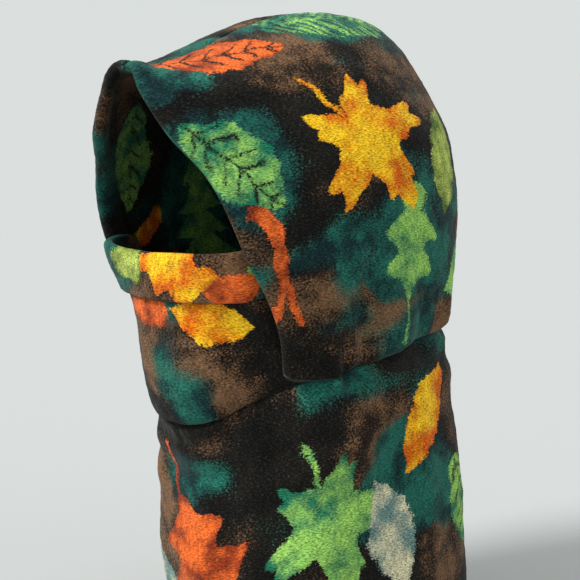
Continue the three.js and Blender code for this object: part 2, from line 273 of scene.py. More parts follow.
def grain(x, y, seed):
    """Smooth random height from -1 to 1: at each whole x and y a random number, the fraction
    of a very steep sine, eased between them."""

    def corner(i, j):
        raw = np.sin(i * 127.1 + j * 311.7 + seed * 74.7) * 43758.5453
        return 2 * (raw - np.floor(raw)) - 1

    i, j = np.floor(x), np.floor(y)
    u, v = ease(x - i), ease(y - j)
    near = corner(i, j) * (1 - u) + corner(i + 1, j) * u
    far = corner(i, j + 1) * (1 - u) + corner(i + 1, j + 1) * u
    return near * (1 - v) + far * v


def cloth_lengths(grid):
    """Where each point lies on the cloth, in millimetres across and down."""
    across = np.linalg.norm(np.diff(grid, axis=1), axis=-1)
    down = np.linalg.norm(np.diff(grid, axis=0), axis=-1)
    s = np.cumsum(np.pad(across, ((0, 0), (1, 0))), axis=1)
    t = np.cumsum(np.pad(down, ((1, 0), (0, 0))), axis=0)
    return s, t


FLAT_ROUNDS = 700
FLAT_PULL = 0.12  # the share of its error that each edge gives back in a round
NO_LENGTH = 1e-6


def laid_flat(grid, s, t, every=8):
    """The cloth's flat cut: s from the middle column and t, at every eighth point, are pushed
    and pulled until each edge and diagonal has its worn length, then read off in between."""
    worn = grid[::every, ::every]
    middle = s[:, s.shape[1] // 2][:, None]
    flat = np.stack([s - middle, t], axis=-1)[::every, ::every]
    here, there, whole = slice(None, -1), slice(1, None), slice(None)
    links = [
        ((whole, here), (whole, there)),
        ((here, whole), (there, whole)),
        ((here, here), (there, there)),
        ((here, there), (there, here)),
    ]
    lengths = [np.linalg.norm(worn[b] - worn[a], axis=-1, keepdims=True) for a, b in links]
    for _ in range(FLAT_ROUNDS):
        pull = np.zeros(flat.shape)
        for (a, b), length in zip(links, lengths):
            gap = flat[b] - flat[a]
            now = np.maximum(np.linalg.norm(gap, axis=-1, keepdims=True), NO_LENGTH)
            step = gap * (FLAT_PULL * (1 - length / now))
            pull[a] += step
            pull[b] -= step
        flat = flat + pull
    flat -= flat.reshape(-1, 2).min(axis=0)
    columns = np.arange(s.shape[1])
    wide = [[np.interp(columns, columns[::every], line) for line in flat[..., k]] for k in (0, 1)]
    at = np.arange(len(s)) / every
    low = np.minimum(at.astype(int), len(flat) - 2)
    part = (at - low)[:, None]
    return tuple(np.array(w)[low] * (1 - part) + np.array(w)[low + 1] * part for w in wide)


# The pile's waves, from tufts to broad and shallow ones: height, length across and down, lean
# over the cloth, and what is added to the piece's seed.
PILE = table(
    "height across down lean seed",
    (0.19, 3.4, 2.6, 0.3, 0),
    (0.24, 6.5, 5.5, 0, 3),
    (0.12, 15, 13, 0, 5),
    (0.9, 44, 52, 0, 4),
    (0.54, 23, 27, 0, 2),
)


def pile_relief(s, t, seed):
    """The cloth's unevenness: the sum of the pile's waves, each a random height."""
    total = np.zeros(s.shape)
    for wave in PILE:
        across, down = s + wave["lean"] * t, t - wave["lean"] * s
        own = grain(across / wave["across"], down / wave["down"], seed + wave["seed"])
        total += wave["height"] * own
    return total


# Folds and dents: side, degrees round from the wearer's left (positive towards the back),
# drop, half length, half width, lean over its length, and height (negative is a valley).
HOOD_FOLDS = table(
    "side turn drop length width lean height",
    (1, -24, 232, 20, 4.5, 2, 3.2),
    (1, -19.5, 230, 20, 3.2, 2, -2.6),
    (1, -11, 222, 40, 7, 6, -4.4),
    (1, 6, 205, 48, 11, 16, 3.4),
    (1, 24, 200, 52, 10, 14, -3.4),
    (1, 46, 205, 44, 12, 8, 2.5),
    (1, -40, 150, 46, 24, 26, -2.5),
    (-1, -14, 228, 34, 10, 4, 3),
    (-1, 6, 218, 40, 12, -6, -3),
    (-1, 40, 205, 44, 12, -8, 3),
    (1, 72, 196, 46, 13, 8, -3),
    (-1, 66, 192, 42, 13, -6, -3),
    (-1, 22, 215, 34, 8, -4, -2.4),
    (1, 10, 96, 30, 34, 30, -1.8),
    (-1, 16, 110, 34, 30, -24, -2),
)
HOOD_DEGREE = 1.7  # how long a degree is round the hood


def hood_fold(grid, side):
    """The sum of the side's folds at each point, each a leaning bell along and across."""
    turn = np.degrees(np.arctan2(grid[..., 1], grid[..., 0]))
    total = np.zeros(turn.shape)
    for fold in (fold for fold in HOOD_FOLDS if fold["side"] == side):
        along = -grid[..., 2] - fold["drop"]
        across = (turn - fold["turn"]) * HOOD_DEGREE - along * fold["lean"] / fold["length"]
        total += fold["height"] * bell(across, fold["width"]) * bell(along, fold["length"])
    return total


def rolled_in(grid, normal, edge, height, depth):
    """The lowest rows rolled in over a quarter round, still ending on the sloping edge."""
    near = np.clip(1 - (grid[..., 2] - grid[-1:, :, 2]) / height, 0, 1)
    inward = depth * (1 - np.sqrt(1 - ROLL_TURN * near**2))
    moved = grid - normal * inward[..., None]
    moved[..., 2] += near * (edge(moved[..., 1]) - edge(grid[..., 1]))
    return moved


def finish_wall(grid, thick, relief):
    """Outer and inner surface of a wall: the outer one with its pile, the inner one coarser
    and the wall's thickness behind."""
    normal = grid_normals(grid)
    outer = grid + normal * relief[..., None]
    inner = (grid - normal * thick[..., None])[::2, ::2]
    return outer, inner


def slant_rim(outer, inner, row):
    """Sets the inner rim below the outer one by a share of the way in, so that the neck seam
    runs aslant through the cloth and shows no light."""
    rim = outer[row, ::2]
    inwards = np.linalg.norm((rim - inner[row])[:, :2], axis=-1)
    inner[row, :, 2] = rim[:, 2] - NECK_SLANT * inwards


# Puckers at a seam: height, length along the seam and away from it, seed and start, and the
# middle and half width of the strip that they fill beside the seam.
PUCKER_COLUMNS = "height along away seed start middle width"
HOOD_PUCKERS = table(
    PUCKER_COLUMNS,
    (0.9, 7.5, 60, 15, 0, 12, 13),
    (1.9, 17, 70, 18, 0, 14, 26),
)
CROWN_PUCKERS = table(PUCKER_COLUMNS, (0.45, 6, math.inf, 16, 0, 5, 6))


def puckers(rows, along, away):
    """The sum of a seam's puckers: random ripples within a bell beside the seam."""
    total = np.zeros(away.shape)
    for one in rows:
        ripple = grain(along / one["along"] + one["start"], away / one["away"], one["seed"])
        total += one["height"] * ripple * bell(away - one["middle"], one["width"])
    return total


def groove(distance, size):
    """The dip along a row of stitches: a bell across it."""
    return size["depth"] * bell(distance, size["width"])


def hood_panel(side):
    """Half the hood: bare surface, folds, neck roll, rounded face edge, seam groove, pile."""
    grid = hood_half()
    s, t = cloth_lengths(grid)
    flat_s, flat_t = laid_flat(grid, s, t)
    flat_s[:, : FOLD_STEPS + 1] -= round_fold(FOLD_RUN, (HEM_THICK + HEM_PLUMP) / 2)
    level = grid_normals(grid)
    level[0, :, 0] = level[:, -1, 0] = 0
    grid = grid + level * hood_fold(grid, side)[..., None]
    depth = NECK_ROLL["depth"] * ease((s - NECK_ROLL["begin"]) / NECK_ROLL["fade"])
    grid = rolled_in(grid, level, hood_edge, NECK_ROLL["height"], depth)
    # The turned edge: an ellipse round the fold, then two layers, then one.
    round_edge = np.r_[np.sin(fold_phase), np.ones(HOOD_COLUMNS - FOLD_STEPS - 1)]
    two_layers = 1 - ease((s - HEM_WIDTH) / HEM_END)
    thick = CLOTH + (HEM_THICK - CLOTH) * two_layers
    plump = HEM_PLUMP * ease((HEM_WIDTH - s) / (HEM_WIDTH - FOLD_RUN))
    sunk = (thick + plump) / 2 * (1 - round_edge)
    to_seam = np.minimum(t, s[:, -1:] - s)
    to_foot = t[-1:] - t
    to_stitch = s - (HEM_WIDTH - HEM_STITCH)
    gathers = puckers(HOOD_PUCKERS, flat_s, to_foot)
    gathers += puckers(CROWN_PUCKERS, flat_s + flat_t, to_seam)
    uneven = pile_relief(flat_s, flat_t, 10 * side) + plump + gathers * ease(to_foot / NECK_CALM)
    stitched = groove(to_seam, SEAM_GROOVE) + groove(to_stitch, HEM_GROOVE)
    relief = uneven * ease(to_seam / SEAM_CALM) - sunk - stitched
    outer, inner = finish_wall(grid, thick - sunk, relief)
    # The seam runs aslant through the cloth, so no light passes between the two halves.
    slant = SEAM_SLANT * side
    for surface, lip in ((outer, SEAM_GAP + slant), (inner, SEAM_GAP - slant)):
        surface[..., 0] = np.maximum(surface[..., 0], lip)
        surface[0, :, 0] = surface[:, -1, 0] = lip
    slant_rim(outer, inner, -1)
    return outer, inner, flat_s, flat_t


WIDE_PIECE = 1.4  # width over height
MAP_ROOM = {"long": 0.97, "short": 0.47, "beside": 0.5}
MAP_MARGIN = 0.01
MAP_STRIP = 0.004  # width of a border strip on the map


def wall_mesh(name, outer, inner, s, t, layers):
    """A closed wall: the outer grid, the inner grid of half its rows and columns turned
    round, and along each border a strip of three triangles for two outer steps and one inner.
    The map lays the inner side beside the outer one, or below it on a wide piece; s and t and
    the print ride on points."""
    points = np.concatenate([outer.reshape(-1, 3), inner.reshape(-1, 3)]) * METRES
    room, beside = (MAP_ROOM["short"], MAP_ROOM["long"]), (MAP_ROOM["beside"], 0.0)
    if np.ptp(s) > WIDE_PIECE * np.ptp(t):
        room, beside = room[::-1], beside[::-1]
    across, down = ((v - v.min()) / np.ptp(v) for v in (s, t))
    own = np.stack([across, down], axis=-1) * room + MAP_MARGIN
    lining = own[::2, ::2] + beside
    at = np.arange(s.size).reshape(s.shape)
    inside = at.size + np.arange(inner[..., 0].size).reshape(inner.shape[:2])
    place = np.concatenate([own.reshape(-1, 2), lining.reshape(-1, 2)])

    def quads(ids):
        return np.stack([ids[:-1, :-1], ids[1:, :-1], ids[1:, 1:], ids[:-1, 1:]], -1).reshape(-1, 4)

    faces = np.concatenate([quads(at), quads(inside)[:, ::-1]])
    borders = [
        (at[:, 0], inside[:, 0], (-MAP_STRIP, 0.0)),
        (at[::-1, -1], inside[::-1, -1], (MAP_STRIP, 0.0)),
        (at[0, ::-1], inside[0, ::-1], (0.0, -MAP_STRIP)),
        (at[-1, :], inside[-1, :], (0.0, MAP_STRIP)),
    ]
    strips, strip_places = [], []
    for edge, partner, aside in borders:
        a, b, c = edge[:-1:2], edge[1::2], edge[2::2]
        p, q = partner[:-1], partner[1:]
        at_a, at_b, at_c = place[a], place[b], place[c]
        at_p, at_q = at_a + aside, at_c + aside
        strips += [np.stack(ids, 1) for ids in ((b, a, p), (b, p, q), (c, b, q))]
        corners = ((at_b, at_a, at_p), (at_b, at_p, at_q), (at_c, at_b, at_q))
        strip_places += [np.stack(places, 1) for places in corners]
    strips, strip_places = np.concatenate(strips), np.concatenate(strip_places)
    loops = np.concatenate([faces.ravel(), strips.ravel()]).astype(np.int32)
    sizes = np.r_[np.full(len(faces), 4), np.full(len(strips), 3)].astype(np.int32)
    mesh = bpy.data.meshes.new(name)
    mesh.vertices.add(len(points))
    mesh.vertices.foreach_set("co", points.astype(np.float32).ravel())
    mesh.loops.add(len(loops))
    mesh.loops.foreach_set("vertex_index", loops)
    mesh.polygons.add(len(sizes))
    mesh.polygons.foreach_set("loop_start", np.r_[0, np.cumsum(sizes)[:-1]].astype(np.int32))
    mesh.polygons.foreach_set("loop_total", sizes)
    mesh.polygons.foreach_set("use_smooth", np.ones(len(sizes), bool))
    mesh.update(calc_edges=True)
    uv = mesh.uv_layers.new(name="cloth_map")
    flat = np.concatenate([place[faces].reshape(-1, 2), strip_places.reshape(-1, 2)])
    uv.data.foreach_set("uv", flat.astype(np.float32).ravel())
    cloth = np.stack([s, t, 0 * s], axis=-1)
    whole = np.concatenate([cloth.reshape(-1, 3), cloth[::2, ::2].reshape(-1, 3)])
    places = mesh.attributes.new("cloth", "FLOAT_VECTOR", "POINT")
    places.data.foreach_set("vector", whole.astype(np.float32).ravel())
    for layer, field in layers.items():
        both = np.concatenate([field.ravel(), field[::2, ::2].ravel()])
        dye = mesh.attributes.new(layer, "FLOAT", "POINT")
        dye.data.foreach_set("value", both.astype(np.float32))
    mesh.validate()
    piece = bpy.data.objects.new(name, mesh)
    bpy.context.collection.objects.link(piece)
    return piece


# The print's colours lie in layers, each stored on the mesh as its distance inside an edge, in
# millimetres. Its motifs are plain leaves, twigs, firs and patches, each with its own place.
LAYERS = ("brown", "teal", "green", "gold", "red", "olive", "pale", "night")
FURTHEST = 9.0  # the longest distance inside or outside an edge that is stored
STALK = 1.6  # half the thickness of a leaf's stalk
VEIN = 1.1


def along_stem(x, size):
    """How far along a motif a point lies, from 0 to 1, and how far past its two ends."""
    return np.clip(x / size + 0.5, 0, 1), np.maximum(0, np.abs(x) - size / 2)


def fraction(x):
    """What a number has over the whole one below it."""
    return x - np.floor(x)


def stick(x, y, middle, half_length, half_thick):
    """Inside distance of a straight stick along x."""
    return half_thick - np.abs(y) - np.maximum(0, np.abs(x - middle) - half_length)


def leaf(x, y, size, wide=0.24, teeth=9, bite=0.14):
    """Inside distance of a pointed leaf: a half-width that follows a sine, with fine teeth."""
    q, past = along_stem(x, size)
    tooth = 1 + bite * fraction(q * teeth)
    return wide * size * np.sin(math.pi * q) ** 0.8 * tooth - np.abs(y) - 0.01 * size - past


def lobed(x, y, size, wide=0.33, lobes=3.5, cut=0.24, foot=0.12):
    """Inside distance of a lobed leaf: the half-width rises and falls along the stem."""
    q, past = along_stem(x, size)
    wave = 1 - cut + cut * np.cos(2 * math.pi * lobes * (q - 0.1 + 0.15 * np.abs(y) / size))
    body = wide * size * np.sin(math.pi * np.clip((q - foot) / (1 - foot), 0, 1)) ** 0.7 * wave
    stalk = stick(x, y, -0.35 * size, 0.3 * size, STALK)
    return np.maximum(body - np.abs(y) - 0.02 * size - past, stalk)


def five_pointed(x, y, size, core=0.24, point=0.24, notch=0.06, slope=0.8):
    """Inside distance of a leaf with five points: the radius swells towards each point."""
    angle, radius = np.arctan2(y, x), np.hypot(x, y)
    wave = np.abs(np.cos(angle * 2.5)) ** 1.6
    ragged = notch * np.cos(angle * 17)
    reach = size * (core + point * wave + ragged * wave) * (0.86 + 0.14 * np.cos(angle))
    stalk = stick(x, y, -0.26 * size, 0.24 * size, STALK)
    return np.maximum((reach - radius) * slope, stalk)


def fir(x, y, size, tip=0.07, spread=0.26, tiers=5.5, narrow=0.35):
    """Inside distance of a small fir: tiers that widen from the tip to the foot."""
    q, past = along_stem(-x, size)
    tier = narrow + (1 - narrow) * fraction(q * tiers)
    return size * (tip + spread * q) * tier - np.abs(y) - 0.4 - 2 * past


def ribs(x, y, size, pitch, width, reach):
    """Inside distance of a stem with slanting ribs on both sides, in a leaf-shaped outline."""
    q, past = along_stem(x, size)
    slant = (x - 0.75 * np.abs(y)) / pitch
    rib = pitch * width - np.abs(fraction(slant) - 0.5) * pitch
    within = reach * size * np.sin(math.pi * np.clip(q * 0.9 + 0.1, 0, 1)) ** 0.6 - np.abs(y)
    return np.maximum(np.minimum(rib, within), VEIN - np.abs(y)) - past


def twig(x, y, size):
    """Inside distance of a fir twig: close ribs as needles."""
    return ribs(x, y, size, pitch=size * 0.085, width=0.27, reach=0.24)


def veins(x, y, size):
    """Inside distance of a leaf's veins: a few thin ribs."""
    return 3 * (ribs(x, y, size, pitch=size * 0.15, width=0.13, reach=0.17) - 0.4)


def blotch(x, y, size):
    """Inside distance of an uneven patch: a disc whose edge wanders."""
    coarse = grain(x / size * 2.6 + 40, y / size * 2.6, 5)
    fine = grain(x / size * 6 + 11, y / size * 6, 6)
    return 0.6 * (size * (0.42 + 0.17 * coarse + 0.085 * fine) - np.hypot(x, y * 1.25))


def branch(x, y, size, thick=0.045, fork_thick=0.032, fork_slope=0.6):
    """Inside distance of a bent branch that forks once."""
    off = y - 0.10 * size * np.sin(x / size * 4)
    past = along_stem(x, size)[1]
    main = size * thick * (1.2 - x / size) - np.abs(off) - past
    fork_off = off - fork_slope * (x - 0.05 * size)
    fork = stick(x, fork_off, 0.22 * size, 0.18 * size, fork_thick * size)
    return np.maximum(main, fork)


shapes = (leaf, lobed, five_pointed, fir, twig, veins, blotch, branch)
MOTIF_SHAPES = {shape.__name__: shape for shape in shapes}

# Wandering grounds: layer, length of the broad and of the fine waves across and down, where
# they start, what is added to the seed, and the height above which they show.
GROUNDS = table(
    "layer across down fine_across fine_down start seed level",
    ("brown", 58, 50, 23, 19, 3, 0, 0.34),
    ("teal", 64, 46, 26, 19, 30, 2, 0.50),
)
GROUND_SLOPE = 20.0
SHAKE = 3.0  # how far the motifs' outlines wander
FRAY = 0.7  # and how far their finest unevenness goes


def print_layers(s, t, seed, motifs):
    """Each layer's inside distance at each point: wandering grounds of brown and teal, then
    the greatest of the piece's own motifs in that layer, their outlines shaken a little."""
    fields = {layer: np.full(s.shape, -FURTHEST) for layer in LAYERS}
    for ground in GROUNDS:
        own = seed + ground["seed"]
        broad = grain(s / ground["across"] + ground["start"], t / ground["down"], own)
        fine = grain(s / ground["fine_across"], t / ground["fine_down"], own + 1)
        fields[ground["layer"]] = GROUND_SLOPE * (broad + 0.5 * fine - ground["level"])
    shaken_s = s + SHAKE * grain(s / 13, t / 11, seed + 4) + FRAY * grain(s / 4, t / 4, seed + 5)
    shaken_t = t + SHAKE * grain(s / 11, t / 13, seed + 6) + FRAY * grain(s / 4, t / 4, seed + 7)
    for motif in motifs:
        angle = math.radians(motif["turn"])
        across, down = shaken_s - motif["s"], shaken_t - motif["t"]
        x = across * math.cos(angle) + down * math.sin(angle)
        y = down * math.cos(angle) - across * math.sin(angle)
        inside = MOTIF_SHAPES[motif["kind"]](x, y, motif["size"])
        fields[motif["layer"]] = np.maximum(fields[motif["layer"]], inside)
    return {layer: np.clip(field, -FURTHEST, FURTHEST) for layer, field in fields.items()}


LEFT_MOTIFS = table(
    "layer kind s t size turn",
    ("red", "leaf", 60, 30, 92, 24),
    ("night", "veins", 60, 30, 92, 24),
    ("teal", "blotch", 12, 34, 74, 0),
    ("teal", "blotch", 24, 112, 96, 60),
    ("green", "leaf", 25, 112, 88, 66),
    ("night", "veins", 25, 112, 88, 66),
    ("brown", "blotch", 92, 66, 70, 0),
    ("gold", "five_pointed", 116, 130, 112, 66),
    ("teal", "blotch", 160, 38, 108, 0),
    ("green", "twig", 160, 38, 104, 24),
    ("brown", "blotch", 62, 218, 80, 0),
    ("red", "branch", 30, 190, 84, 72),
    ("brown", "blotch", 194, 112, 72, 0),
    ("olive", "leaf", 190, 160, 76, 112),
    ("teal", "blotch", 128, 216, 104, 0),
    ("green", "lobed", 132, 212, 92, -76),
    ("red", "leaf", 224, 72, 70, 70),
    ("pale", "lobed", 238, 180, 70, 84),
    ("green", "leaf", 206, 238, 66, 160),
)


class Value:
    """A value in a material: a node's output, with arithmetic that adds Math nodes."""

    def __init__(self, tree, socket):
        self.tree, self.socket = tree, socket

    def make(self, kind, settings=None, inputs=None, output=0):
        """Any node: its type, its settings, and its sockets' values or links."""
        node = self.tree.nodes.new(kind)
        for setting, value in (settings or {}).items():
            setattr(node, setting, value)
        for key, value in (inputs or {}).items():
            if isinstance(value, Value):
                self.tree.links.new(value.socket, node.inputs[key])
            else:
                node.inputs[key].default_value = value
        return Value(self.tree, node.outputs[output] if node.outputs else None)

    def math(self, operation, *terms):
        return self.make("ShaderNodeMath", {"operation": operation}, dict(enumerate(terms)))

    def __add__(self, other):
        return self.math("ADD", self, other)

    def __sub__(self, other):
        return self.math("SUBTRACT", self, other)

    def __rsub__(self, other):
        return self.math("SUBTRACT", other, self)

    def __mul__(self, other):
        return self.math("MULTIPLY", self, other)

    __radd__, __rmul__ = __add__, __mul__

    def sibling(self, output):
        """Another output of the same node."""
        return Value(self.tree, self.socket.node.outputs[output])

    def clamped(self):
        """The value held between 0 and 1."""
        return self.make("ShaderNodeMath", {"operation": "ADD", "use_clamp": True}, {0: self, 1: 0.0})


def srgb(code):
    """A colour from its screen code, as the shader's linear light."""
    parts = [int(code[i : i + 2], 16) / 255 for i in (0, 2, 4)]
    return tuple(p / 12.92 if p < 0.04 else ((p + 0.055) / 1.055) ** 2.4 for p in parts) + (1.0,)


# Each layer runs between two colours. Its edge fades over a width in millimetres, speckles
# move that edge in and out, and inside it they pepper the one colour with the other.
DYES = table(
    "layer low high edge speckle pepper",
    ("brown", "20160e", "76563c", 10.0, 25, 3.0),
    ("teal", "0b2d30", "1f6758", 5.0, 15, 1.4),
    ("green", "1b7456", "93c75f", 1.8, 5, 0.8),
    ("gold", "e0690a", "fec81f", 1.5, 4, 0.5),
    ("red", "8f3517", "ee6c2a", 1.5, 4, 0.6),
    ("olive", "4d6a28", "bccb60", 2.0, 5, 0.7),
    ("pale", "6f8f8a", "ddd5b0", 2.0, 8, 0.9),
    ("night", "0b0e0e", "1a1a17", 4.5, 18, 1.0),
)
GROUND_COLOURS = {"low": "080807", "high": "201d18"}
# The pale tint that the hair tips are blended towards: a painted highlight.
HAIR_TIP_HIGHLIGHT = (0.37, 0.36, 0.32, 1.0)


def fleece(name):
    """Printed plush: short hairs lie across the cloth in streaks, with a painted highlight at their
    tips and painted shade between. Each dye's edge is frayed by the hairs, and its two colours drift
    slowly."""
    material = bpy.data.materials.new(name)
    material.use_nodes = True
    tree = material.node_tree
    tree.nodes.clear()
    make = Value(tree, None).make
    cloth = make("ShaderNodeAttribute", {"attribute_name": "cloth"}, output="Vector")
    s = make("ShaderNodeSeparateXYZ", inputs={0: cloth}, output="X")
    t = s.sibling("Y")

    def noise(across, down):
        at = make("ShaderNodeCombineXYZ", inputs={"X": across, "Y": down})
        amounts = {"Vector": at, "Scale": 1.0, "Detail": 2.0, "Roughness": 0.6}
        return make("ShaderNodeTexNoise", {"noise_dimensions": "2D"}, amounts)

    def blend(low, high, amount):
        mixing = {"data_type": "RGBA", "blend_type": "MIX", "clamp_factor": True}
        return make("ShaderNodeMix", mixing, {0: amount, 6: low, 7: high}, output=2)

    # Slow drift, clumps of pile, speckles and single hairs: each factor is waves a millimetre.
    drift = noise(s * 0.030, t * 0.034)
    clump = noise(s * 0.11 + 31, t * 0.10)
    speckle = noise(s * 0.60 + 7, t * 0.68)
    slant = t - s * 0.30 + clump * 3.5
    hair = noise((s + t * 0.30) * 0.40, slant * 1.25)
    streak = ((hair - 0.5) * 3.4 + 0.5).clamped()
    # The black ground, and then each dye where its layer, frayed at the edge, covers it.
    grey = (drift - 0.35) * 1.6 + (speckle - 0.5) * 0.8
    colour = blend(srgb(GROUND_COLOURS["low"]), srgb(GROUND_COLOURS["high"]), grey)
    wander = (drift - 0.5) * 3.6 + (clump - 0.5) * 0.8
    for dye in DYES:
        field = make("ShaderNodeAttribute", {"attribute_name": dye["layer"]}, output="Fac")
        near = field + (speckle - 0.5) * dye["speckle"] + (streak - 0.5) * 1.5
        drifted = wander + (speckle - 0.5) * dye["pepper"] + field * 0.03 + 0.42
        own = blend(srgb(dye["low"]), srgb(dye["high"]), drifted)
        colour = blend(colour, own, near * (1 / dye["edge"]) + 0.5)
    # Painted shade between the hairs and in the hollows, and a little painted highlight at their
    # tips.
    shade = 0.42 + streak * 0.76 + (clump - 0.5) * 0.5
    painted_shade_colour = make("ShaderNodeVectorMath", {"operation": "SCALE"}, {0: colour, "Scale": shade})
    painted_light_colour = blend(painted_shade_colour, HAIR_TIP_HIGHLIGHT, (streak - 0.6) * 0.075)
    bump = make("ShaderNodeBump", inputs={"Strength": 0.85, "Distance": 0.0008, "Height": hair})
    look = {
        "Base Color": painted_light_colour,
        "Roughness": 0.8 + streak * 0.18,
        "Specular IOR Level": 0.1,
        "Sheen Weight": 0.09,
        "Sheen Roughness": 0.4,
        "Sheen Tint": (0.85, 0.88, 0.82, 1.0),
        "Normal": bump,
    }
    surface = make("ShaderNodeBsdfPrincipled", inputs=look)
    make("ShaderNodeOutputMaterial", inputs={"Surface": surface})
    return material


printed_fleece = fleece("printed_fleece")

outer, inner, s, t = hood_panel(1)
left_rim = outer[-1]
left_panel = wall_mesh("hood_left", outer, inner, s, t, print_layers(s, t, 21, LEFT_MOTIFS))
left_panel.data.materials.append(printed_fleece)
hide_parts("hood_left_panel")
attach(left_panel, "root")


# Right hood panel. The same cut turned over, made of the same fleece and sewn to the left half
# along the crown and down the back, with folds of its own and another part of the print.

RIGHT_MOTIFS = table(
    "layer kind s t size turn",
    ("brown", "blotch", 28, 60, 84, 30),
    ("green", "leaf", 46, 124, 84, 104),
    ("night", "veins", 46, 124, 84, 104),
    ("gold", "branch", 28, 190, 76, 150),
    ("red", "five_pointed", 118, 76, 108, 80),
    ("teal", "blotch", 104, 186, 112, 0),
    ("green", "fir", 104, 184, 100, -84),
    ("gold", "lobed", 184, 150, 92, 62),
    ("brown", "blotch", 160, 220, 90, 0),
    ("teal", "blotch", 192, 42, 104, 0),
    ("olive", "twig", 192, 42, 96, 120),
    ("red", "leaf", 240, 112, 66, 80),
    ("pale", "leaf", 216, 214, 76, 66),
)

mirror = np.array([-1.0, 1.0, 1.0])
outer, inner, s, t = (grid[:, ::-1] for grid in hood_panel(-1))
outer, inner = outer * mirror, inner * mirror
right_rim = outer[-1]
right_panel = wall_mesh("hood_right", outer, inner, s, t, print_layers(s, t, 47, RIGHT_MOTIFS))
right_panel.data.materials.append(printed_fleece)
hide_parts("hood_right_panel")
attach(right_panel, "root")


# Face panel. One layer of the fleece across mouth and chin. Its sides are sewn inside the hood's
# turned edges and its lower edge to the neck tube, where it bulges out under the chin.

HEM_INSIDE = 2.4
HEM_SPARE = 0.9
UNDER_HEM = 24.0
BAND_TOP = 149.0
BAND_FOOT = 181.0
BAND_SAG = 4.0
PANEL_START = 0.6  # how far below the band's foot the panel's own rows begin
CHIN_ROLL = {"height": 27.0, "depth": 16.0, "cheek_depth": 4.0}
SEAM_DROP = 270.0  # where the way back along the panel is read for the neck seam
FACE_ROWS = 77
FACE_COLUMNS = 185
FACE_MIDDLE = 92
FACE_FINE = 401
FACE_LEVELS = table(
    "drop straight lip_x front",
    (145, 24, 33, 127),
    (181, 26, 35, 125),
    (210, 28, 36, 121.5),
    (240, 30, 34, 119),
    (262, 30, 31, 118),
    (286, 30, 28, 117),
)
face_at = tracks(FACE_LEVELS, "drop")


def under_hem(back, drop):
    """The place inside the hood's edge at a distance back from it, and the way forward."""
    half_width, front = hood_at["half_width"](drop), front_depth(drop)
    angle = hem_angle(drop) + back / front
    outside = np.stack([half_width * np.cos(angle), front * np.sin(angle), -drop], axis=-1)
    ahead = np.stack([half_width * np.sin(angle), -front * np.cos(angle), 0 * angle], axis=-1)
    ahead /= np.linalg.norm(ahead, axis=-1, keepdims=True)
    inward = np.stack([ahead[..., 1], -ahead[..., 0], 0 * angle], axis=-1)
    valley = np.minimum(0, np.minimum(hood_fold(outside, 1), hood_fold(outside, -1)))
    return outside + inward * (CLOTH + HEM_INSIDE + HEM_SPARE - valley)[..., None], ahead


def face_point(across, drop):
    """The face panel and its band: a cubic from the lips (across 0) that meets the hood's
    edge (1) in line with the hood, and then runs in under it (2)."""
    share = np.abs(across)
    end, ahead = under_hem(np.maximum(share - 1, 0) * UNDER_HEM, drop)
    cheek = end + ahead * face_at["straight"](drop)[..., None]
    front = face_at["front"](drop)
    lip = np.stack([face_at["lip_x"](drop), -front, -drop], axis=-1)
    middle = np.stack([0 * front, -front, -drop], axis=-1)
    curve = cubic(np.minimum(share, 1)[..., None], middle, lip, cheek, end)
    return curve * np.stack([np.sign(across), 1 + 0 * across, 1 + 0 * across], axis=-1)


def face_grid(drops_at):
    """Rows of the face surface: each row's drops as a function of across, evened out. Gives
    the points and how far across each one lies."""
    across = np.linspace(-2, 2, FACE_FINE)
    rows, places = [], []
    for drops in drops_at:
        line = face_point(across, drops(across))
        far = distances(line)
        at = np.linspace(0, far[-1], FACE_COLUMNS)
        rows.append(points_at(at, far, line))
        places.append(np.interp(at, far, across))
    return np.stack(rows), np.stack(places)


def from_middle(s):
    """Lengths across the cloth, moved row by row until they agree in the middle column."""
    middle = s[:, FACE_MIDDLE : FACE_MIDDLE + 1]
    return s - middle + middle[0]


def clear_of_hem(across, edge, fade):
    """1 in the middle and 0 from the given place across, over a share of the way to it."""
    return ease((edge - np.abs(across)) / fade)


def band_edge(drop, across):
    """An edge of the band sags a little towards the lips."""
    return drop + BAND_SAG * np.clip(1 - across**2, 0, 1)


def face_rows(down):
    """The drops of one row of the panel, from the band's foot (0) to the neck seam (1)."""

    def drops(across):
        foot = -seam_height(face_point(across, SEAM_DROP + 0 * across)[:, 1])
        start = band_edge(BAND_FOOT, across) + PANEL_START
        return start + (foot - start) * down

    return drops


# Soft dents of the panel: place across in millimetres from the middle (positive is left),
# drop, half width, half height, and height.
FACE_DENTS = table(
    "x drop width tall height",
    (30, 222, 20, 26, 2.6),
    (-26, 228, 22, 26, 2.2),
    (2, 206, 16, 14, -2.0),
    (52, 204, 9, 22, -2.0),
    (-50, 206, 9, 22, -1.8),
)


def face_dent(grid):
    """The sum of the dents, each a bell across and down."""
    total = np.zeros(grid.shape[:2])
    for dent in FACE_DENTS:
        across = bell(grid[..., 0] - dent["x"], dent["width"])
        total += dent["height"] * across * bell(-grid[..., 2] - dent["drop"], dent["tall"])
    return total


FACE_MOTIFS = table(
    "layer kind s t size turn",
    ("brown", "blotch", 84, 10, 84, 0),
    ("red", "blotch", 92, 2, 52, 0),
    ("gold", "blotch", 92, -2, 30, 0),
    ("brown", "blotch", 140, 58, 70, 0),
    ("gold", "leaf", 150, 12, 60, 16),
    ("night", "blotch", 60, 70, 70, 0),
)

